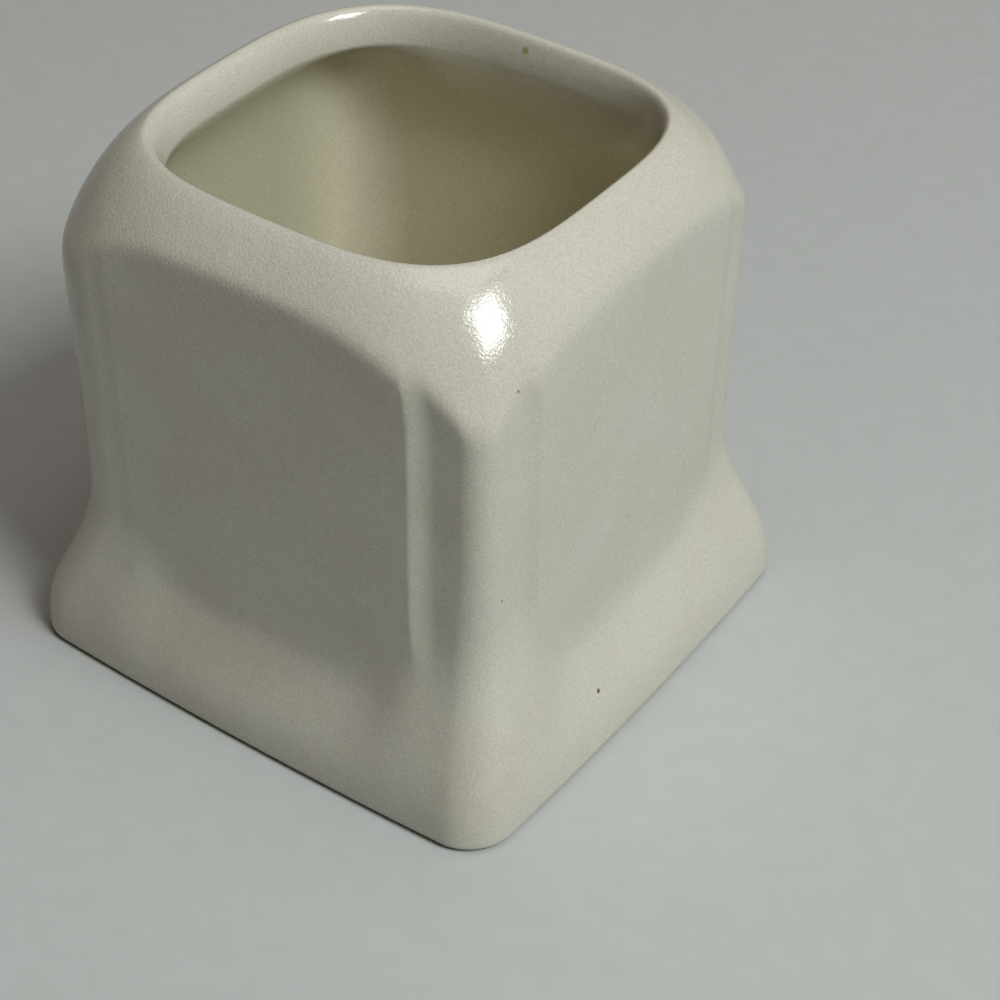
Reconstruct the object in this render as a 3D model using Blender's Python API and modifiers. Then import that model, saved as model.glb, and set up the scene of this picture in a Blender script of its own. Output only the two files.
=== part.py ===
"""Toothpick holder: a slip-cast clay pot with a glaze coat, in metres, standing on z = 0."""

import bpy
import bmesh
from math import cos, pi, radians, sin
from mathutils import Vector

# Overall size
HEIGHT = 0.0524
FOOT_WIDTH = 0.0540

# The pot is a little less deep, along Y, than it is wide
DEPTH_TO_WIDTH = 0.971

# Foot: it flares out below the waist to its edge, and rounds under from there
FOOT_CORNER_RADIUS = 0.0046
FOOT_SIDE_BOW = 0.0005
FOOT_EDGE_HEIGHT = 0.0014
FOOT_EDGE_INSET = 0.0012

# Body, measured from panel to panel
WAIST_HEIGHT = 0.0162
WAIST_WIDTH = 0.0470
BODY_TOP_WIDTH = 0.0476
BODY_TWIST = radians(2.0)

# Corner piers, set back from the raised panels by a soft step
PIER_SETBACK = 0.0009
PIER_CORNER_RADIUS = 0.0034
PIER_FLAT_WIDTH = 0.0014
PANEL_STEP_WIDTH = 0.0024
PANEL_FADE_HEIGHT = 0.0072

# Shoulder dome, from the crest of the lip outwards and down
MOUTH_CREST_WIDTH = 0.0406
MOUTH_SQUARENESS = 2.95
SHOULDER_RUN = 0.0126
SHOULDER_DROP = 0.0233
SHOULDER_FULLNESS = 1.36
SHOULDER_EDGE_SHARPNESS = 40.0
SHOULDER_START_DROP = 0.0130

# Lip: rounded crest, then a bevel down to the throat
LIP_RADIUS = 0.0012
LIP_ROUND_ANGLE = radians(55.0)
LIP_BEVEL_RUN = 0.0014
LIP_BEVEL_DROP = 0.0028

# Cavity: wider than the throat, with round corners and a rounded floor edge
THROAT_HEIGHT = 0.0035
WALL = 0.0045
CAVITY_CORNER_RADIUS = 0.0125
FLOOR_THICKNESS = 0.0045
FLOOR_EDGE_RADIUS = 0.0040

# Glaze: it stops above the resting face
GLAZE_THICKNESS = 0.0003
GLAZE_CLEARANCE = 0.0003
GLAZE_LINE_HEIGHT = 0.0005

# Fineness of the mesh, in sections and in points on each half side
FOOT_EDGE_RINGS = 2
COVE_RINGS = 6
BODY_RINGS = 2
SHOULDER_RINGS = 7
LIP_RINGS = 2
THROAT_RINGS = 2
FLOOR_EDGE_RINGS = 3
PANEL_STEPS = 3
CORNER_STEPS = 2


def clear_scene():
    for old in list(bpy.data.objects):
        bpy.data.objects.remove(old, do_unlink=True)


def ease(share):
    """Smooth rise from 0 to 1."""
    share = min(max(share, 0.0), 1.0)
    return share * share * (3.0 - 2.0 * share)


def spread(low, high, count):
    """Evenly spaced heights from low, leaving out high itself."""
    return [low + (high - low) * step / count for step in range(count)]


def flare(z):
    """1 where the foot is widest, 0 from the waist up."""
    return ease((WAIST_HEIGHT - z) / (WAIST_HEIGHT - FOOT_EDGE_HEIGHT))


def panel_half_width(z):
    """Half the width across the panels, with the foot's flare and its rounded lower edge."""
    rise = max(z - WAIST_HEIGHT, 0.0) / (HEIGHT - WAIST_HEIGHT)
    body = WAIST_WIDTH + (BODY_TOP_WIDTH - WAIST_WIDTH) * rise
    width = body + (FOOT_WIDTH - WAIST_WIDTH) * flare(z)
    under = max(FOOT_EDGE_HEIGHT - z, 0.0) / FOOT_EDGE_HEIGHT
    return width / 2 - FOOT_EDGE_INSET * (1.0 - (1.0 - under * under) ** 0.5)


def pier_setback(z):
    """How far the piers stand back from the panels: nothing on the foot."""
    return PIER_SETBACK * ease((z - PANEL_FADE_HEIGHT) / (WAIST_HEIGHT - PANEL_FADE_HEIGHT))


def half_side(half, radius, setback, bow):
    """Half of a section's side as (along, outward), from its middle to the middle of its corner."""
    pier = half - setback
    arc_start = pier - radius
    step_foot = arc_start - PIER_FLAT_WIDTH
    step_top = step_foot - PANEL_STEP_WIDTH
    flat = [(step_top * step / PANEL_STEPS, half) for step in range(PANEL_STEPS + 1)]
    flat += [(step_foot, pier), (arc_start, pier)]
    points = [(along, out + bow * (1.0 - (along / arc_start) ** 2)) for along, out in flat]
    for step in range(1, CORNER_STEPS + 1):
        angle = pi / 4 * step / CORNER_STEPS
        points.append((arc_start + radius * sin(angle), arc_start + radius * cos(angle)))
    return points


def section(z):
    """The panelled square at one height, before the shoulder: four sides turned from one."""
    radius = PIER_CORNER_RADIUS + (FOOT_CORNER_RADIUS - PIER_CORNER_RADIUS) * flare(z)
    right = half_side(panel_half_width(z), radius, pier_setback(z), FOOT_SIDE_BOW * flare(z))
    left = [(-along, out) for along, out in reversed(right[1:])]
    ring = []
    for quarter in range(4):
        turn = quarter * pi / 2
        for along, out in left + right[:-1]:
            ring.append(Vector((along * cos(turn) + out * sin(turn), along * sin(turn) - out * cos(turn))))
    return ring


def placed(ring, z):
    """A section at its height, turned by the casting's twist, which fades out at the foot and the mouth."""
    lower = ease((z - FOOT_EDGE_HEIGHT) / (WAIST_HEIGHT - FOOT_EDGE_HEIGHT))
    upper = ease((HEIGHT - z) / SHOULDER_START_DROP)
    turn = BODY_TWIST * lower * upper
    turned = []
    for point in ring:
        across = point.x * cos(turn) - point.y * sin(turn)
        deep = point.x * sin(turn) + point.y * cos(turn)
        turned.append(Vector((across, deep * DEPTH_TO_WIDTH, z)))
    return turned


def mouth_half_width(point):
    """Half width of the mouth's rounded-square outline when it passes through a point."""
    total = abs(point.x) ** MOUTH_SQUARENESS + abs(point.y) ** MOUTH_SQUARENESS
    return total ** (1.0 / MOUTH_SQUARENESS)


def shoulder_half_width(z):
    """Half width of the dome that cuts the body off at the shoulder."""
    share = min(max((z - HEIGHT + SHOULDER_DROP) / SHOULDER_DROP, 0.0), 1.0)
    reach = (1.0 - share ** SHOULDER_FULLNESS) ** (1.0 / SHOULDER_FULLNESS)
    return MOUTH_CREST_WIDTH / 2 + SHOULDER_RUN * reach


def outside_ring(z):
    """The pot's outside at one height: the panelled square, cut off softly by the shoulder dome."""
    ring = []
    for point in section(z):
        over = mouth_half_width(point) / shoulder_half_width(z)
        ring.append(point * (1.0 + over ** SHOULDER_EDGE_SHARPNESS) ** (-1.0 / SHOULDER_EDGE_SHARPNESS))
    return placed(ring, z)


def outside_heights():
    """Heights of the outside's sections, from the glaze line to just under the crest of the lip."""
    shoulder_start = HEIGHT - SHOULDER_START_DROP
    heights = spread(GLAZE_LINE_HEIGHT, FOOT_EDGE_HEIGHT, FOOT_EDGE_RINGS)
    heights += spread(FOOT_EDGE_HEIGHT, WAIST_HEIGHT, COVE_RINGS)
    heights += spread(WAIST_HEIGHT, shoulder_start, BODY_RINGS)
    for ring in range(SHOULDER_RINGS, 0, -1):
        heights.append(HEIGHT - SHOULDER_START_DROP * (ring / SHOULDER_RINGS) ** 2)
    return heights


def mouth_ring(half, z):
    """The mouth's rounded-square outline, on the body's own directions."""
    return placed([point * (half / mouth_half_width(point)) for point in section(HEIGHT)], z)


def cavity_ring(half, radius, z):
    """A square with round corners, on the body's own directions."""
    ring = []
    for point in section(HEIGHT):
        wide, narrow = max(abs(point.x), abs(point.y)), min(abs(point.x), abs(point.y))
        scale = half / wide
        centre = half - radius
        if narrow * scale > centre:
            length = wide * wide + narrow * narrow
            middle = centre * (wide + narrow) / length
            scale = middle + (middle * middle - (2.0 * centre * centre - radius * radius) / length) ** 0.5
        ring.append(point * scale)
    return placed(ring, z)


def lip_rings():
    """From the crest over the lip's rounding and down its bevel to the throat."""
    rings = []
    for step in range(LIP_RINGS + 1):
        angle = LIP_ROUND_ANGLE * step / LIP_RINGS
        half = MOUTH_CREST_WIDTH / 2 - LIP_RADIUS * sin(angle)
        z = HEIGHT - LIP_RADIUS * (1.0 - cos(angle))
        rings.append(mouth_ring(half, z))
    rings.append(mouth_ring(half - LIP_BEVEL_RUN, z - LIP_BEVEL_DROP))
    return rings


def cavity_rings(throat):
    """From under the throat, out to the cavity wall, down it and round into the floor."""
    throat_z = throat[0].z
    half = WAIST_WIDTH / 2 - PIER_SETBACK - WALL
    wall_top = cavity_ring(half, CAVITY_CORNER_RADIUS, throat_z - THROAT_HEIGHT)
    rings = []
    for step in range(1, THROAT_RINGS + 1):
        share = step / THROAT_RINGS
        ring = [narrow.lerp(wide, ease(share)) for narrow, wide in zip(throat, wall_top)]
        for point in ring:
            point.z = throat_z - THROAT_HEIGHT * share
        rings.append(ring)
    for step in range(FLOOR_EDGE_RINGS + 1):
        angle = pi / 2 * step / FLOOR_EDGE_RINGS
        shrink = FLOOR_EDGE_RADIUS * (1.0 - cos(angle))
        z = FLOOR_THICKNESS + FLOOR_EDGE_RADIUS * (1.0 - sin(angle))
        rings.append(cavity_ring(half - shrink, CAVITY_CORNER_RADIUS - shrink, z))
    return rings


def glazed_face():
    """All that the glaze covers as one open sheet: outside, lip, cavity wall and floor."""
    lip = lip_rings()
    rings = [outside_ring(z) for z in outside_heights()] + lip + cavity_rings(lip[-1])
    sheet = bmesh.new()
    rows = [[sheet.verts.new(point) for point in ring] for ring in rings]
    columns = range(len(rows[0]))
    for low, high in zip(rows, rows[1:]):
        for column in columns:
            before = column - 1
            sheet.faces.new((low[before], low[column], high[column], high[before]))
    centre = sheet.verts.new((0.0, 0.0, FLOOR_THICKNESS))
    for column in columns:
        sheet.faces.new((rows[-1][column - 1], rows[-1][column], centre))
    sheet.normal_update()
    return sheet


def make_material(name, colour, roughness, coat):
    material = bpy.data.materials.new(name)
    material.use_nodes = True
    shader = material.node_tree.nodes["Principled BSDF"]
    shader.inputs["Base Color"].default_value = (*colour, 1.0)
    shader.inputs["Roughness"].default_value = roughness
    shader.inputs["Metallic"].default_value = 0.0
    shader.inputs["Coat Weight"].default_value = coat
    return material


def make_object(name, body, material, collection):
    mesh = bpy.data.meshes.new(name)
    body.to_mesh(mesh)
    body.free()
    mesh.shade_smooth()
    mesh.materials.append(material)
    piece = bpy.data.objects.new(name, mesh)
    collection.objects.link(piece)
    return piece


def make_glaze(collection):
    """The glaze: the glazed face thickened inwards."""
    material = make_material("ivory_glaze", (0.72, 0.70, 0.59), 0.22, 0.5)
    glaze = make_object("glaze_coat", glazed_face(), material, collection)
    shell = glaze.modifiers.new("glaze_thickness", "SOLIDIFY")
    shell.thickness = GLAZE_THICKNESS
    shell.offset = -1.0


def make_clay(collection):
    """The clay: the glazed face moved in under the glaze, carried down to the bare foot and closed."""
    clay = glazed_face()
    depth = GLAZE_THICKNESS + GLAZE_CLEARANCE
    rim = [edge for edge in clay.edges if edge.is_boundary]
    inner = [vert.co - vert.normal * depth for vert in clay.verts]
    for vert, place in zip(clay.verts, inner):
        vert.co = place
    extruded = bmesh.ops.extrude_edge_only(clay, edges=rim)["geom"]
    foot_verts = [item for item in extruded if isinstance(item, bmesh.types.BMVert)]
    foot_edges = [item for item in extruded if isinstance(item, bmesh.types.BMEdge) and item.is_boundary]
    for vert in foot_verts:
        vert.co.xy *= (panel_half_width(0.0) - depth) / panel_half_width(GLAZE_LINE_HEIGHT)
        vert.co.z = 0.0
    bmesh.ops.edgeloop_fill(clay, edges=foot_edges)
    bmesh.ops.recalc_face_normals(clay, faces=clay.faces)
    material = make_material("bare_clay", (0.76, 0.72, 0.63), 0.85, 0.0)
    make_object("clay_body", clay, material, collection)


def main():
    clear_scene()
    collection = bpy.data.collections.new("toothpick_holder")
    bpy.context.scene.collection.children.link(collection)
    make_clay(collection)
    make_glaze(collection)


main()
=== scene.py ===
"""Looks of the toothpick holder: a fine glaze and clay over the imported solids, floor, light and camera."""

from collections import namedtuple
from math import cos, pi, radians, sin

import bpy
import numpy as np
from mathutils import Matrix, Vector


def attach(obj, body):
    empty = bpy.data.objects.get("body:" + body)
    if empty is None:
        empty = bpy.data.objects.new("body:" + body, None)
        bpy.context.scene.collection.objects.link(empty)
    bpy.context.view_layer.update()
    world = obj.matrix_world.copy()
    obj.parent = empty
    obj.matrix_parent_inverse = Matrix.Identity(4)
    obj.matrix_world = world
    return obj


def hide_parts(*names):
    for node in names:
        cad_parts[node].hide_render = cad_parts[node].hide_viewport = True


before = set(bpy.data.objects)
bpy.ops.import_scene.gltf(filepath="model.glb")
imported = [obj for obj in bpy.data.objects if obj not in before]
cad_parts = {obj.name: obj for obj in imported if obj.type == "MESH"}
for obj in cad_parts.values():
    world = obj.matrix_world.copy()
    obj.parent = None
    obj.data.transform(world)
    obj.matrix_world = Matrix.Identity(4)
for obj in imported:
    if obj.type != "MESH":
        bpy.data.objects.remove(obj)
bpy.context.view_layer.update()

# Sizes of the pot, as in the part's source
HEIGHT = 0.0524
FOOT_WIDTH = 0.0540
DEPTH_TO_WIDTH = 0.971
FOOT_CORNER_RADIUS = 0.0046
FOOT_SIDE_BOW = 0.0005
WAIST_HEIGHT = 0.0162
WAIST_WIDTH = 0.0470
BODY_TOP_WIDTH = 0.0476
BODY_TWIST = radians(2.0)
PIER_SETBACK = 0.0009
MOUTH_CREST_WIDTH = 0.0406
MOUTH_SQUARENESS = 2.95
SHOULDER_RUN = 0.0126
SHOULDER_DROP = 0.0233
SHOULDER_FULLNESS = 1.36
SHOULDER_START_DROP = 0.0130
FLOOR_THICKNESS = 0.0045
FLOOR_EDGE_RADIUS = 0.0040
GLAZE_THICKNESS = 0.0003
GLAZE_CLEARANCE = 0.0003
GLAZE_LINE_HEIGHT = 0.0005

# Sizes that follow the photograph more closely than the part's source: a finer edge under the foot, and a
# well with a thinner wall, tighter corners and a taller hollow under its throat
FOOT_EDGE_HEIGHT = 0.0010
FOOT_EDGE_INSET = 0.0007
WALL = 0.0023
CAVITY_CORNER_RADIUS = 0.0062
THROAT_HEIGHT = 0.0120

# Where the well's wall stands, and where it starts to round into the floor
CAVITY_HALF_WIDTH = WAIST_WIDTH / 2 - PIER_SETBACK - WALL
FLOOR_EDGE_TOP = FLOOR_THICKNESS + FLOOR_EDGE_RADIUS

# Each corner as this pot was cast: how far its pier stands back, its rounding, where the panels before and
# after it end, how wide their step down to the pier is, how much higher the cove over the foot starts there,
# and how square the lip's crest and its hole are
Corner = namedtuple("Corner", "setback rounding panel_before panel_after step rise crest hole")
LEFT = Corner(0.0001, 0.0064, 0.0150, 0.0150, 0.0020, 0.0022, 3.2, 3.6)
FRONT = Corner(0.00075, 0.0026, 0.0161, 0.0159, 0.0023, 0.0060, 3.2, 3.6)
RIGHT = Corner(0.0004, 0.0051, 0.0152, 0.0152, 0.0024, 0.0022, 4.0, 3.9)
BACK = Corner(0.0007, 0.0040, 0.0152, 0.0152, 0.0024, 0.0022, MOUTH_SQUARENESS, MOUTH_SQUARENESS)
CORNERS = (LEFT, FRONT, RIGHT, BACK)
STEP_SKEW = 0.7
PANEL_BLEND = 0.0005

# Cosine and sine of each side's quarter turn, from the side between the left and the front corner on
SIDE_TURNS = ((1, 0), (0, 1), (-1, 0), (0, -1))

# The cove over the foot eases out further up and down than the solid's, and rises to the corners
COVE_TOP = 0.0172
COVE_FOOT = -0.0010
RISE_START = 0.45
RISE_FULL = 0.80
ROUNDING_TOP = 0.0320

# The crease under the shoulder is crisp; on the right panel it lies lower and is softer
SHOULDER_EDGE_SHARPNESS = 90.0
RIGHT_EDGE_SHARPNESS = 70.0
RIGHT_DROP_SCALE = 1.30
RIGHT_EDGE_ANGLE = 0.0
RIGHT_EDGE_ANGLES = (radians(44.0), radians(15.0))
CREST_BLEND = 0.0080

# The lip steepens from its crest to the throat; at the front the dome runs further in to a sharper crest
LIP_RUN = 0.0020
LIP_DROP = 0.0034
LIP_SWEEP = radians(84.0)
FRONT_REACH = 0.0011
FRONT_REACH_ANGLE = radians(-37.0)
FRONT_REACH_ANGLES = (radians(113.0), radians(70.0))
HOLE_SHIFT = (-0.0002, 0.0006)

# Under the throat the wall hollows out at once, but slowly round the right corner
THROAT_HOLLOW = 5.0
SOFT_THROAT_ANGLE = radians(70.0)
SOFT_THROAT_ANGLES = (radians(82.0), radians(42.0))

# Slow waves in the casting, inward only: each has its way through the pot and where it starts
WAVE_DEPTH = 0.00003
WAVE_LENGTH = 0.0095
WAVES = (
    ((1.0, 0.0, 0.7), 0.0),
    ((0.0, 0.8, -0.6), 1.0),
    ((0.5, -0.5, 0.9), 2.0),
)

# Fineness of the glaze, in points on each half side and in rings
PANEL_POINTS = 10
STEP_POINTS = 10
PIER_POINTS = 3
CORNER_POINTS = 8
FOOT_EDGE_RINGS = 6
COVE_RINGS = 24
BODY_RINGS = 16
SHOULDER_RINGS = 44
LIP_RINGS = 16
THROAT_RINGS = 8
WALL_RINGS = 12
FLOOR_EDGE_RINGS = 8
FLOOR_RINGS = 6

# The clay takes every second point and ring, and has rings under the foot at these shares of its width
CLAY_STRIDE = 2
UNDERSIDE_SHARES = (0.3, 0.6, 0.9)

# Patterns: how finely they break up, and the part of a noise's range that most of them use
NOISE_DETAIL = 2.0
NOISE_SPAN = (0.3, 0.7)

# Glaze: colours, sizes of its patterns in metres, and heights of its relief
GLAZE_PALE = (0.595, 0.588, 0.510)
GLAZE_DEEP = (0.575, 0.560, 0.474)
# Yellower and paler down the well: a deeper tint, with painted light that brightens the well's inside
GLAZE_WELL_TINT_AND_LIGHT = (0.78, 0.735, 0.56)
# Darker and greener on the well's left wall: painted shade, with a greener tint
GLAZE_WALL_SHADE_AND_TINT = (0.49, 0.48, 0.345)
GLAZE_THIN = (0.57, 0.49, 0.40)
GLOSS_ROUGHNESS = (0.08, 0.16)
CLOUD_GRAIN = 0.012
THIN_GRAIN = 0.003
THIN_SPAN = (0.3, 0.6)
GLOSS_GRAIN = 0.004
PEEL_GRAIN = 0.0022
PEEL_HEIGHT = 0.00005
SAND_GRAIN = 0.00022
SAND_HEIGHT = 0.00005
DUST_GRAIN = 0.00017
DUST_DARK = 0.83

# Where the glaze changes: yellower and paler down the well, a deeper tint with painted light in it; darker
# and greener on the well's left wall, painted shade with a greener tint; thin at the foot's front corner,
# sandy on the shoulder over the left panel
WELL_START = 0.0026
WELL_FULL = 0.0065
# Painted shade on the well's left wall: the depths it spans and the directions it faces
WALL_SHADE_START = 0.0026
WALL_SHADE_FULL = 0.0045
WALL_SHADE_FADE = 0.0300
WALL_SHADE_END = 0.0440
WALL_SHADE_ANGLE = radians(195.0)
WALL_SHADE_ANGLES = (radians(70.0), radians(30.0))
THIN_SPOT = (0.0255, -0.0225, 0.0075)
THIN_REACH = 0.0060
THIN_AMOUNT = 0.6
SAND_BAND = 0.0150
SAND_ANGLE = radians(-110.0)
SAND_ANGLES = (radians(75.0), radians(30.0))
SAND_LEAST = 0.3

# Flecks in patches all over the glaze, and the larger specks at their places with their radii and colours
FLECK_SPACING = 0.0028
FLECK_EDGE = 0.050
FLECK_CORE = 0.025
FLECK_PATCH = 0.006
FLECK_SPAN = (0.5, 0.7)
FLECK_COLOUR = (0.42, 0.38, 0.29)
SPECK_IRON = (0.13, 0.10, 0.06)
SPECK_OLIVE = (0.33, 0.31, 0.12)
SPECK_SOFTNESS = 0.5
Speck = namedtuple("Speck", "place radius colour")
SPECKS = (
    Speck((0.02659, -0.00674, 0.00626), 0.00030, SPECK_IRON),
    Speck((0.02352, -0.01867, 0.02408), 0.00016, SPECK_IRON),
    Speck((0.02333, -0.01671, 0.04457), 0.00016, SPECK_IRON),
    Speck((-0.00094, 0.01814, 0.05138), 0.00045, SPECK_OLIVE),
)

# Bare clay and floor: colours, sizes of their patterns and heights of their relief
CLAY_PALE = (0.68, 0.62, 0.52)
CLAY_DEEP = (0.60, 0.53, 0.43)
CLAY_GRIT = (0.40, 0.33, 0.26)
CLAY_ROUGHNESS = (0.78, 0.92)
GRIT_GRAIN = 0.0012
GRIT_DETAIL = 4.0
GRIT_SPAN = (0.62, 0.72)
GRIT_HEIGHT = 0.00012
FLOOR_PALE = (0.466, 0.492, 0.480)
FLOOR_DEEP = (0.452, 0.477, 0.465)
FLOOR_GRAIN = 0.003
FLOOR_ROUGHNESS = 0.6
FLOOR_REACH = 2.0

# Light: the way to each lamp, its distance and size in metres, its power in watts and its colour
Lamp = namedtuple("Lamp", "name direction distance size watts colour")
KEY_LIGHT = Lamp("key_light", (0.66, -0.075, 0.75), 0.9, 0.33, 6.75, (0.965, 1.0, 1.0))
TOP_LIGHT = Lamp("top_light", (0.10, 0.05, 1.0), 0.9, 0.6, 2.3, (1.0, 0.995, 0.97))
ROOM_COLOUR = (1.0, 0.45, 0.15)
ROOM_STRENGTH = 0.05

# Camera, as fitted to the photograph's outline
CAMERA_AZIMUTH = radians(34.79)
CAMERA_ELEVATION = radians(39.12)
CAMERA_ROLL = radians(0.96)
CAMERA_DISTANCE = 0.21868
CAMERA_TARGET_HEIGHT = 0.0263
CAMERA_RIGHT = 0.00812
CAMERA_UP = -0.01155
CAMERA_LENS = 85.47
CAMERA_SENSOR = 36.0
CAMERA_CLIP_START = 0.01


def ease(share):
    """Smooth rise from 0 to 1."""
    share = np.clip(share, 0.0, 1.0)
    return share * share * (3.0 - 2.0 * share)


def smoother(share):
    """Rise from 0 to 1 that is smooth in its bend too."""
    share = np.clip(share, 0.0, 1.0)
    return share ** 3 * (10.0 - 15.0 * share + 6.0 * share * share)


def mix(start, end, share):
    """From one value to another by a share."""
    return start + (end - start) * share


def shares(count):
    """Evenly spaced shares from 0, leaving out 1 itself."""
    return np.arange(count) / count


def shares_to_one(count):
    """Evenly spaced shares up to 1, leaving out 0 itself."""
    return (1.0 + np.arange(count)) / count


def ring_normals(rings):
    """Outward normals of a lofted sheet."""
    round_it = np.roll(rings, -1, axis=1) - np.roll(rings, 1, axis=1)
    along_it = np.gradient(rings, axis=0)
    normals = np.cross(round_it, along_it)
    return normals / np.linalg.norm(normals, axis=-1, keepdims=True)


def by_corner(points, values):
    """For each point, the value of the corner that it lies towards: left, front, right or back."""
    left, front, right, back = values
    on_left = np.where(points[..., 1] < 0.0, left, back)
    on_right = np.where(points[..., 1] < 0.0, front, right)
    return np.where(points[..., 0] < 0.0, on_left, on_right)


def facing(points, angle, angles):
    """1 for points that lie towards an angle, falling to 0 between the two angles away from it."""
    away = np.arctan2(points[..., 1], points[..., 0]) - angle
    away = np.abs((away + pi) % (2.0 * pi) - pi)
    return ease((angles[0] - away) / (angles[0] - angles[1]))


def flare(z, top=COVE_TOP):
    """1 where the foot is widest, 0 from the top of the cove up."""
    return smoother((top - z) / (top - COVE_FOOT))


def body_half_width(z):
    """Half the width across the panels above the foot."""
    rise = np.maximum(z - WAIST_HEIGHT, 0.0) / (HEIGHT - WAIST_HEIGHT)
    return mix(WAIST_WIDTH, BODY_TOP_WIDTH, rise) / 2


def pier_half_width(z, setback, top=COVE_TOP):
    """Half the width across the piers, which flare into the foot and round under at its lower edge."""
    under = np.maximum(FOOT_EDGE_HEIGHT - z, 0.0) / FOOT_EDGE_HEIGHT
    inset = FOOT_EDGE_INSET * (1.0 - np.sqrt(1.0 - under * under))
    return mix(body_half_width(z) - setback, FOOT_WIDTH / 2, flare(z, top)) - inset


def panel_half_width(z, setback, top):
    """Half the width across the panels, which stand straight until the foot comes out to meet them."""
    body = body_half_width(z)
    pier = pier_half_width(z, setback, top)
    blend = PANEL_BLEND * (1.0 - flare(z, top)) * setback / PIER_SETBACK
    return (body + pier + np.sqrt((body - pier) ** 2 + blend ** 2)) / 2


def along_side(step_top, step, arc_start):
    """Distances along half a side: over the panel, down its step, and along the pier to the corner's arc."""
    return np.hstack([
        step_top * (1.0 - (1.0 - shares(PANEL_POINTS)) ** 2),
        step_top + step * shares(STEP_POINTS),
        mix(step_top + step, arc_start, np.append(shares(PIER_POINTS), 1.0)),
    ])


def step_fall():
    """How far down the step from the panel to the pier each point along half a side lies."""
    on_step = ease(shares(STEP_POINTS) ** STEP_SKEW)
    return np.concatenate([np.zeros(PANEL_POINTS), on_step, np.ones(PIER_POINTS + 1)])


def half_side(z, corner, panel_end):
    """Half a side of the section at each height, as (along, outward), from its middle to its corner."""
    edge = pier_half_width(z, corner.setback, COVE_TOP + corner.rise)
    radius = mix(corner.rounding, FOOT_CORNER_RADIUS, flare(z, ROUNDING_TOP))
    arc_start = edge - radius
    along = along_side(panel_end * edge / (WAIST_WIDTH / 2), corner.step, arc_start)
    near = ease((along / arc_start - RISE_START) / (RISE_FULL - RISE_START))
    top = COVE_TOP + corner.rise * near
    panel = panel_half_width(z, mix(PIER_SETBACK, corner.setback, near), top)
    pier = pier_half_width(z, corner.setback, top)
    bow = FOOT_SIDE_BOW * flare(z) * (1.0 - (along / arc_start) ** 2)
    out = mix(panel, pier, step_fall()) + bow
    angle = pi / 4 * shares_to_one(CORNER_POINTS)
    along = np.hstack([along, arc_start + radius * np.sin(angle)])
    out = np.hstack([out, arc_start + radius * np.cos(angle)])
    return along, out


def sections(z):
    """The panelled square at each height, before the shoulder: four sides, each from corner to corner."""
    sides = []
    for start, end, (c, s) in zip(CORNERS, CORNERS[1:] + CORNERS[:1], SIDE_TURNS):
        start_along, start_out = half_side(z, start, start.panel_after)
        end_along, end_out = half_side(z, end, end.panel_before)
        along = np.hstack([-start_along[:, :0:-1], end_along[:, :-1]])
        out = np.hstack([start_out[:, :0:-1], end_out[:, :-1]])
        sides.append(np.stack([along * c + out * s, along * s - out * c], axis=-1))
    return np.hstack(sides)


def top_section():
    """One section at the top, whose directions the mouth and the cavity share."""
    return sections(np.array([[HEIGHT]]))[0]


def placed(points, z):
    """Sections at their heights, turned by the casting's twist and brought to the pot's depth."""
    lower = ease((z - FOOT_EDGE_HEIGHT) / (WAIST_HEIGHT - FOOT_EDGE_HEIGHT))
    upper = ease((HEIGHT - z) / SHOULDER_START_DROP)
    turn = BODY_TWIST * lower * upper
    across = points[..., 0] * np.cos(turn) - points[..., 1] * np.sin(turn)
    deep = points[..., 0] * np.sin(turn) + points[..., 1] * np.cos(turn)
    return np.stack([across, deep * DEPTH_TO_WIDTH, np.broadcast_to(z, across.shape)], axis=-1)


def mouth_half_width(points, squareness):
    """Half width of the mouth's rounded-square outline when it passes through each point."""
    reach = np.abs(points)
    return (reach[..., 0] ** squareness + reach[..., 1] ** squareness) ** (1.0 / squareness)


def crest_squareness(points):
    """How square the lip's crest is towards each point."""
    return by_corner(points, [corner.crest for corner in CORNERS])


def crest_inset(points):
    """How far in from its usual place the lip's crest lies."""
    return FRONT_REACH * facing(points, FRONT_REACH_ANGLE, FRONT_REACH_ANGLES)


def shoulder_half_width(z, drop, inset):
    """Half width of the dome that cuts the body off at the shoulder, over a drop from the crest."""
    share = np.clip((z - HEIGHT + drop) / drop, 0.0, 1.0)
    reach = (1.0 - share ** SHOULDER_FULLNESS) ** (1.0 / SHOULDER_FULLNESS)
    return MOUTH_CREST_WIDTH / 2 - inset * (1.0 - reach) ** 2 + SHOULDER_RUN * reach


def outside_heights():
    """Heights of the outside's rings, from the glaze line to just under the crest of the lip."""
    foot = mix(GLAZE_LINE_HEIGHT, FOOT_EDGE_HEIGHT, shares(FOOT_EDGE_RINGS))
    cove = mix(FOOT_EDGE_HEIGHT, COVE_TOP, shares(COVE_RINGS))
    body = mix(COVE_TOP, HEIGHT - SHOULDER_START_DROP, shares(BODY_RINGS))
    shoulder = HEIGHT - SHOULDER_START_DROP * (1.0 - shares(SHOULDER_RINGS)) ** 2
    return np.concatenate([foot, cove, body, shoulder])[:, None]


def waved(rings):
    """The outside with the casting's slow waves, which fade out at the foot's edge and at the crest."""
    phase = rings * (2.0 * pi / WAVE_LENGTH)
    wave = sum(np.sin(phase @ np.array(way) + start) for way, start in WAVES)
    z = rings[..., 2]
    fade = ease((z - FOOT_EDGE_HEIGHT) / FOOT_EDGE_HEIGHT) * ease((HEIGHT - z) / LIP_RUN)
    depth = WAVE_DEPTH * fade * (1.0 + wave / len(WAVES))
    return rings - ring_normals(rings) * depth[..., None]


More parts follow.
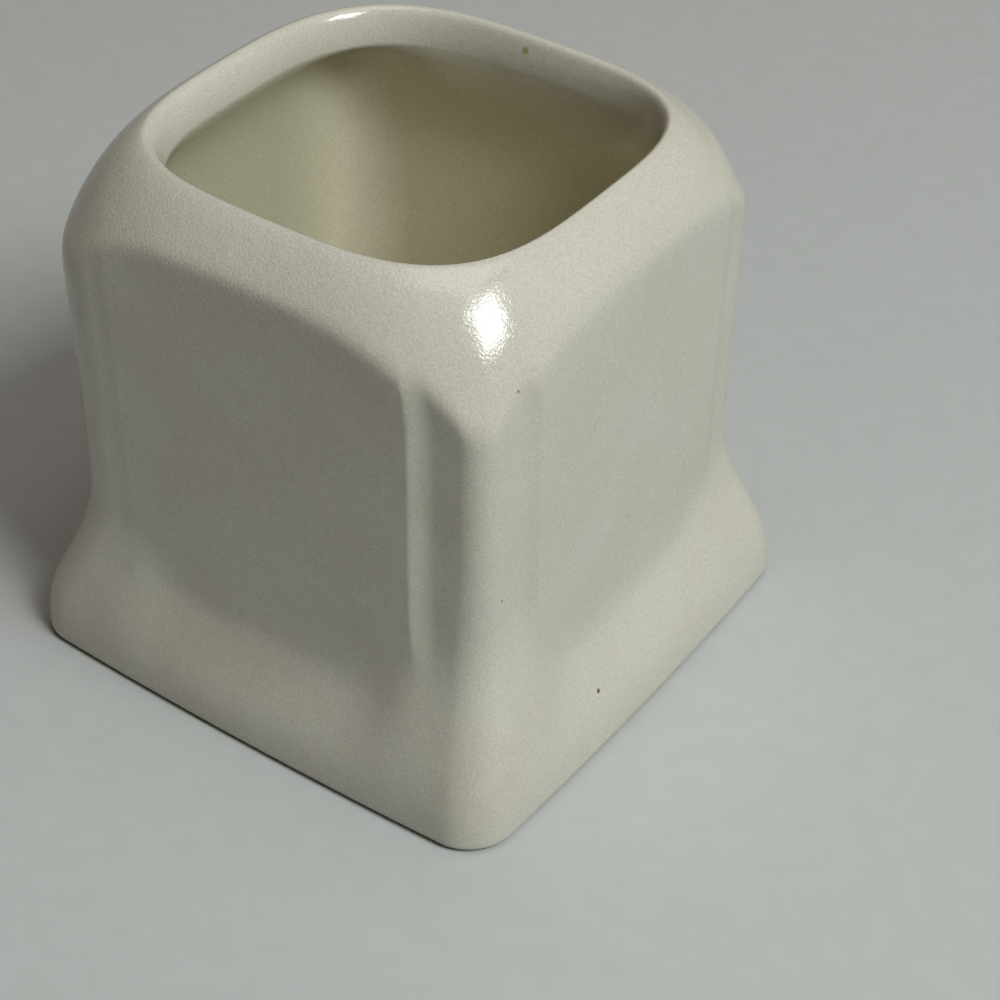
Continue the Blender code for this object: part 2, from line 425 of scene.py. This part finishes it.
def outside_rings():
    """The pot's outside: the panelled square, cut off by the shoulder dome."""
    z = outside_heights()
    points = sections(z)
    on_right = facing(points, RIGHT_EDGE_ANGLE, RIGHT_EDGE_ANGLES)
    drop = SHOULDER_DROP * mix(1.0, RIGHT_DROP_SCALE, on_right)
    sharpness = mix(SHOULDER_EDGE_SHARPNESS, RIGHT_EDGE_SHARPNESS, on_right)
    near_crest = ease((z - HEIGHT + CREST_BLEND) / CREST_BLEND)
    squareness = mix(MOUTH_SQUARENESS, crest_squareness(points), near_crest)
    over = mouth_half_width(points, squareness) / shoulder_half_width(z, drop, crest_inset(points))
    cut = (1.0 + over ** sharpness) ** (-1.0 / sharpness)
    return waved(placed(points * cut[..., None], z))


def lip_profile(points):
    """How far the lip's rings lie in from the crest's usual place, and below it."""
    angle = LIP_SWEEP * np.append(shares(LIP_RINGS), 1.0)[:, None]
    inward = mix(crest_inset(points), LIP_RUN, np.sin(angle) / sin(LIP_SWEEP))
    return inward, LIP_DROP * (1.0 - np.cos(angle)) / (1.0 - cos(LIP_SWEEP))


def lip_rings():
    """From the crest over the lip's rounding to the throat, whose hole is squarer and off the middle."""
    points = top_section()
    inward, below = lip_profile(points)
    share = ease((inward - inward[0]) / (LIP_RUN - inward[0]))
    hole = by_corner(points, [corner.hole for corner in CORNERS])
    squareness = mix(crest_squareness(points), hole, share)
    scale = (MOUTH_CREST_WIDTH / 2 - inward) / mouth_half_width(points, squareness)
    outline = points[None] * scale[..., None]
    return placed(outline + np.array(HOLE_SHIFT) * share[..., None], HEIGHT - below)


def cavity_rings(half, radius, z):
    """Squares with round corners in the given half widths, corner radii and heights, moved with the hole."""
    points = top_section()
    wide = np.abs(points).max(axis=-1)
    narrow = np.abs(points).min(axis=-1)
    centre = half - radius
    length = wide * wide + narrow * narrow
    middle = centre * (wide + narrow) / length
    inside = middle * middle - (2.0 * centre * centre - radius ** 2) / length
    on_round = middle + np.sqrt(np.maximum(inside, 0.0))
    scale = np.where(narrow * half / wide > centre, on_round, half / wide)
    return placed(points[None] * scale[..., None] + np.array(HOLE_SHIFT), z)


def neck_rings(throat):
    """From under the throat out to the top of the cavity's wall."""
    throat_z = throat[:, 2]
    wide = cavity_rings(CAVITY_HALF_WIDTH, CAVITY_CORNER_RADIUS, throat_z[None] - THROAT_HEIGHT)[0]
    share = shares_to_one(THROAT_RINGS)[:, None]
    hollow = 1.0 - (1.0 - share) ** THROAT_HOLLOW
    soft = facing(top_section(), SOFT_THROAT_ANGLE, SOFT_THROAT_ANGLES)
    rings = mix(throat, wide, mix(hollow, ease(share), soft)[..., None])
    rings[..., 2] = throat_z - THROAT_HEIGHT * share
    return rings


def wall_rings(wall_top):
    """Down the cavity's wall, to where it starts to round into the floor."""
    z = mix(wall_top, FLOOR_EDGE_TOP, shares_to_one(WALL_RINGS)[:, None])
    return cavity_rings(CAVITY_HALF_WIDTH, CAVITY_CORNER_RADIUS, z)


def floor_edge_rings():
    """Round from the cavity's wall into its floor."""
    angle = pi / 2 * shares_to_one(FLOOR_EDGE_RINGS)[:, None]
    shrink = FLOOR_EDGE_RADIUS * (1.0 - np.cos(angle))
    z = FLOOR_EDGE_TOP - FLOOR_EDGE_RADIUS * np.sin(angle)
    return cavity_rings(CAVITY_HALF_WIDTH - shrink, CAVITY_CORNER_RADIUS - shrink, z)


def floor_rings(edge):
    """From the floor's edge in towards its middle."""
    inward = 1.0 - shares_to_one(FLOOR_RINGS)[:-1]
    rings = np.repeat(edge[None], inward.size, axis=0)
    rings[..., :2] *= inward[:, None, None]
    return rings


def inside_rings(throat):
    """From under the throat, out to the cavity's wall, down it, round into the floor and over that."""
    neck = neck_rings(throat)
    edge = floor_edge_rings()
    return np.concatenate([neck, wall_rings(neck[-1, :, 2]), edge, floor_rings(edge[-1])])


def glazed_rings():
    """All that the glaze covers, from the glaze line over the lip to the cavity's floor."""
    lip = lip_rings()
    return np.concatenate([outside_rings(), lip, inside_rings(lip[-1])])


def lofted(name, rings, centres):
    """A piece through the rings, closed at its start or end where a centre point is given."""
    count, columns = rings.shape[:2]
    points = rings.reshape(-1, 3).tolist()
    row = np.arange(columns)
    ahead = np.roll(row, -1)
    faces = []
    for ring in range(count - 1):
        low = ring * columns
        high = low + columns
        faces += np.stack([low + row, low + ahead, high + ahead, high + row], axis=-1).tolist()
    start, end = centres
    if start is not None:
        faces += [(int(b), int(a), len(points)) for a, b in zip(row, ahead)]
        points.append(start)
    if end is not None:
        last = (count - 1) * columns
        faces += [(int(last + a), int(last + b), len(points)) for a, b in zip(row, ahead)]
        points.append(end)
    mesh = bpy.data.meshes.new(name)
    mesh.from_pydata(points, [], faces)
    mesh.shade_smooth()
    piece = bpy.data.objects.new(name, mesh)
    bpy.context.scene.collection.objects.link(piece)
    return piece


def paint(piece, name, values):
    """Store a value on each of the mesh's points."""
    layer = piece.data.attributes.new(name, "FLOAT", "POINT")
    layer.data.foreach_set("value", np.asarray(values, dtype=np.float32).ravel())


def paint_glaze(glaze, outer_count):
    """Where the glaze is yellower with painted light, darker with painted shade, thin and sandy; the
    outside's points come first.
    """
    points = np.empty(len(glaze.data.vertices) * 3, dtype=np.float32)
    glaze.data.vertices.foreach_get("co", points)
    points = points.reshape(-1, 3).astype(float)
    inner = np.arange(len(points)) >= outer_count
    depth = HEIGHT - points[:, 2]
    # Painted light: the well's inside takes the paler, yellower colour from a few millimetres down
    paint(glaze, "well", inner * ease((depth - WELL_START) / (WELL_FULL - WELL_START)))
    # Painted shade: the well's left wall darkens below the throat and fades out further down
    below_top = ease((depth - WALL_SHADE_START) / (WALL_SHADE_FULL - WALL_SHADE_START))
    above_end = ease((WALL_SHADE_END - depth) / (WALL_SHADE_END - WALL_SHADE_FADE))
    paint(glaze, "wall_shade_and_tint", inner * below_top * above_end * facing(points, WALL_SHADE_ANGLE, WALL_SHADE_ANGLES))
    near = np.linalg.norm(points - np.array(THIN_SPOT), axis=-1)
    paint(glaze, "thin", THIN_AMOUNT * ease((THIN_REACH - near) / THIN_REACH))
    shoulder = ease((SAND_BAND - depth) / SAND_BAND)
    paint(glaze, "sand", mix(SAND_LEAST, 1.0, shoulder * facing(points, SAND_ANGLE, SAND_ANGLES)))


def make_glaze():
    """The glaze: the glazed face, with its lower rim turned in to the clay."""
    rings = glazed_rings()
    tucked = rings[:1] - ring_normals(rings)[:1] * (GLAZE_THICKNESS + GLAZE_CLEARANCE)
    glaze = lofted("glaze", np.concatenate([tucked, rings]), (None, (0.0, 0.0, FLOOR_THICKNESS)))
    outer_rings = len(tucked) + len(outside_heights())
    paint_glaze(glaze, outer_rings * rings.shape[1])
    specks = [spot._replace(place=glaze.closest_point_on_mesh(spot.place)[1]) for spot in SPECKS]
    glaze.data.materials.append(glaze_material(specks))
    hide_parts("glaze_coat")
    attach(glaze, "root")


def make_clay():
    """The clay: the glazed face moved in under the glaze, coarser, carried down to the bare foot."""
    depth = GLAZE_THICKNESS + GLAZE_CLEARANCE
    rings = glazed_rings()
    rings = (rings - ring_normals(rings) * depth)[::CLAY_STRIDE, ::CLAY_STRIDE]
    foot = rings[:1].copy()
    foot[..., :2] *= (pier_half_width(0.0, 0.0) - depth) / pier_half_width(GLAZE_LINE_HEIGHT, 0.0)
    foot[..., 2] = 0.0
    under = np.repeat(foot, len(UNDERSIDE_SHARES), axis=0)
    under[..., :2] *= np.array(UNDERSIDE_SHARES)[:, None, None]
    middle = tuple(rings[-1].mean(axis=0))
    clay = lofted("clay", np.concatenate([under, foot, rings]), ((0.0, 0.0, 0.0), middle))
    clay.data.materials.append(clay_material())
    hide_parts("clay_body")
    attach(clay, "root")


def new_material(name):
    """A material with its shader, and the object's own coordinates in metres to draw patterns in."""
    material = bpy.data.materials.new(name)
    material.use_nodes = True
    tree = material.node_tree
    place = tree.nodes.new("ShaderNodeTexCoord").outputs["Object"]
    return material, tree, tree.nodes["Principled BSDF"], place


def noise(tree, place, grain, detail=NOISE_DETAIL):
    """A soft random pattern whose lumps are about one grain across."""
    node = tree.nodes.new("ShaderNodeTexNoise")
    node.inputs["Scale"].default_value = 1.0 / grain
    node.inputs["Detail"].default_value = detail
    tree.links.new(place, node.inputs["Vector"])
    return node.outputs["Fac"]


def ranged(tree, value, span, result=(0.0, 1.0)):
    """A value brought from one span to another, easing in and out, and held at its ends."""
    node = tree.nodes.new("ShaderNodeMapRange")
    node.interpolation_type = "SMOOTHSTEP"
    tree.links.new(value, node.inputs["Value"])
    node.inputs["From Min"].default_value = span[0]
    node.inputs["From Max"].default_value = span[1]
    node.inputs["To Min"].default_value = result[0]
    node.inputs["To Max"].default_value = result[1]
    return node.outputs["Result"]


def multiplied(tree, first, second):
    """One value times another."""
    node = tree.nodes.new("ShaderNodeMath")
    node.operation = "MULTIPLY"
    tree.links.new(first, node.inputs[0])
    tree.links.new(second, node.inputs[1])
    return node.outputs["Value"]


def tinted(tree, share, under, over):
    """One colour laid over another by a share; each is a plain colour or another node's."""
    node = tree.nodes.new("ShaderNodeMix")
    node.data_type = "RGBA"
    tree.links.new(share, node.inputs["Factor"])
    for socket, colour in ((node.inputs[6], under), (node.inputs[7], over)):
        if isinstance(colour, tuple):
            socket.default_value = (*colour, 1.0)
        else:
            tree.links.new(colour, socket)
    return node.outputs[2]


def shaded(tree, share, colour):
    """A colour brought down to a share of itself."""
    node = tree.nodes.new("ShaderNodeVectorMath")
    node.operation = "SCALE"
    tree.links.new(colour, node.inputs[0])
    tree.links.new(share, node.inputs["Scale"])
    return node.outputs["Vector"]


def painted(tree, name):
    """A value stored on the mesh's points."""
    node = tree.nodes.new("ShaderNodeAttribute")
    node.attribute_name = name
    return node.outputs["Fac"]


def bumped(tree, height, distance, under=None):
    """Relief of a height pattern, laid over other relief."""
    node = tree.nodes.new("ShaderNodeBump")
    node.inputs["Distance"].default_value = distance
    tree.links.new(height, node.inputs["Height"])
    if under is not None:
        tree.links.new(under, node.inputs["Normal"])
    return node.outputs["Normal"]


def flecks(tree, place):
    """1 in the small flecks, which come in patches, 0 around them."""
    cells = tree.nodes.new("ShaderNodeTexVoronoi")
    cells.inputs["Scale"].default_value = 1.0 / FLECK_SPACING
    tree.links.new(place, cells.inputs["Vector"])
    spots = ranged(tree, cells.outputs["Distance"], (FLECK_EDGE, FLECK_CORE))
    return multiplied(tree, spots, ranged(tree, noise(tree, place, FLECK_PATCH), FLECK_SPAN))


def speck(tree, place, spot):
    """1 inside a small round spot, 0 around it."""
    node = tree.nodes.new("ShaderNodeVectorMath")
    node.operation = "DISTANCE"
    tree.links.new(place, node.inputs[0])
    node.inputs[1].default_value = spot.place
    return ranged(tree, node.outputs["Value"], (spot.radius, spot.radius * SPECK_SOFTNESS))


def glaze_colour(tree, place, specks):
    """Cloudy ivory, yellower and paler in the well with painted light, darker and greener on the well's left
    wall with painted shade, browner where thin, with its specks.
    """
    cloud = ranged(tree, noise(tree, place, CLOUD_GRAIN), NOISE_SPAN)
    colour = tinted(tree, cloud, GLAZE_DEEP, GLAZE_PALE)
    # Painted light in the well, along with its deeper tint
    colour = tinted(tree, painted(tree, "well"), colour, GLAZE_WELL_TINT_AND_LIGHT)
    # Painted shade on the well's left wall, with a greener tint
    colour = tinted(tree, painted(tree, "wall_shade_and_tint"), colour, GLAZE_WALL_SHADE_AND_TINT)
    patches = ranged(tree, noise(tree, place, THIN_GRAIN), THIN_SPAN)
    colour = tinted(tree, multiplied(tree, painted(tree, "thin"), patches), colour, GLAZE_THIN)
    dust = ranged(tree, noise(tree, place, DUST_GRAIN), NOISE_SPAN, (DUST_DARK, 1.0))
    colour = shaded(tree, dust, colour)
    colour = tinted(tree, flecks(tree, place), colour, FLECK_COLOUR)
    for spot in specks:
        colour = tinted(tree, speck(tree, place, spot), colour, spot.colour)
    return colour


def glaze_material(specks):
    """Ivory glaze: its colour, an uneven gloss, and a faint peel with a sandy grain over it."""
    material, tree, shader, place = new_material("ivory_glaze")
    tree.links.new(glaze_colour(tree, place, specks), shader.inputs["Base Color"])
    gloss = ranged(tree, noise(tree, place, GLOSS_GRAIN), NOISE_SPAN, GLOSS_ROUGHNESS)
    tree.links.new(gloss, shader.inputs["Roughness"])
    peel = bumped(tree, noise(tree, place, PEEL_GRAIN), PEEL_HEIGHT)
    sand = multiplied(tree, noise(tree, place, SAND_GRAIN), painted(tree, "sand"))
    tree.links.new(bumped(tree, sand, SAND_HEIGHT, peel), shader.inputs["Normal"])
    return material


def clay_material():
    """Bare fired clay: matt and gritty, with darker grains in it."""
    material, tree, shader, place = new_material("bare_clay")
    cloud = ranged(tree, noise(tree, place, CLOUD_GRAIN), NOISE_SPAN)
    colour = tinted(tree, cloud, CLAY_DEEP, CLAY_PALE)
    grit = noise(tree, place, GRIT_GRAIN, GRIT_DETAIL)
    colour = tinted(tree, ranged(tree, grit, GRIT_SPAN), colour, CLAY_GRIT)
    tree.links.new(colour, shader.inputs["Base Color"])
    tree.links.new(ranged(tree, grit, NOISE_SPAN, CLAY_ROUGHNESS), shader.inputs["Roughness"])
    tree.links.new(bumped(tree, grit, GRIT_HEIGHT), shader.inputs["Normal"])
    return material


def make_floor():
    """A plain pale floor with a faint grain."""
    reach = FLOOR_REACH
    mesh = bpy.data.meshes.new("floor")
    corners = [(-reach, -reach, 0.0), (reach, -reach, 0.0), (reach, reach, 0.0), (-reach, reach, 0.0)]
    mesh.from_pydata(corners, [], [(0, 1, 2, 3)])
    material, tree, shader, place = new_material("pale_floor")
    grain = ranged(tree, noise(tree, place, FLOOR_GRAIN), NOISE_SPAN)
    tree.links.new(tinted(tree, grain, FLOOR_DEEP, FLOOR_PALE), shader.inputs["Base Color"])
    shader.inputs["Roughness"].default_value = FLOOR_ROUGHNESS
    mesh.materials.append(material)
    floor = bpy.data.objects.new("floor", mesh)
    bpy.context.scene.collection.objects.link(floor)


def make_lamp(lamp):
    """A square lamp that faces the pot's middle from its direction."""
    data = bpy.data.lights.new(lamp.name, "AREA")
    data.size = lamp.size
    data.energy = lamp.watts
    data.color = lamp.colour
    light = bpy.data.objects.new(lamp.name, data)
    towards = Vector(lamp.direction).normalized()
    light.location = Vector((0.0, 0.0, HEIGHT / 2)) + towards * lamp.distance
    light.rotation_euler = towards.to_track_quat("Z", "Y").to_euler()
    bpy.context.scene.collection.objects.link(light)


def make_light():
    """One soft lamp from the upper right, a wider weak one overhead and a faint warm room."""
    make_lamp(KEY_LIGHT)
    make_lamp(TOP_LIGHT)
    world = bpy.data.worlds.new("room")
    bpy.context.scene.world = world
    world.use_nodes = True
    sky = world.node_tree.nodes["Background"]
    sky.inputs["Color"].default_value = (*ROOM_COLOUR, 1.0)
    sky.inputs["Strength"].default_value = ROOM_STRENGTH


def make_camera():
    """The photograph's camera: close, looking down on a corner."""
    a, e, roll = CAMERA_AZIMUTH, CAMERA_ELEVATION, CAMERA_ROLL
    back = Vector((sin(a) * cos(e), -cos(a) * cos(e), sin(e)))
    level = Vector((cos(a), sin(a), 0.0))
    upright = back.cross(level)
    right = cos(roll) * level + sin(roll) * upright
    up = cos(roll) * upright - sin(roll) * level
    place = Vector((0.0, 0.0, CAMERA_TARGET_HEIGHT)) + back * CAMERA_DISTANCE
    place += right * CAMERA_RIGHT + up * CAMERA_UP
    data = bpy.data.cameras.new("camera")
    data.sensor_width = CAMERA_SENSOR
    data.lens = CAMERA_LENS
    data.clip_start = CAMERA_CLIP_START
    camera = bpy.data.objects.new("camera", data)
    matrix = Matrix((right, up, back)).transposed().to_4x4()
    matrix.translation = place
    camera.matrix_world = matrix
    bpy.context.scene.collection.objects.link(camera)
    bpy.context.scene.camera = camera


make_camera()
make_floor()
make_light()
make_glaze()
make_clay()
bpy.context.scene.view_settings.view_transform = "Standard"
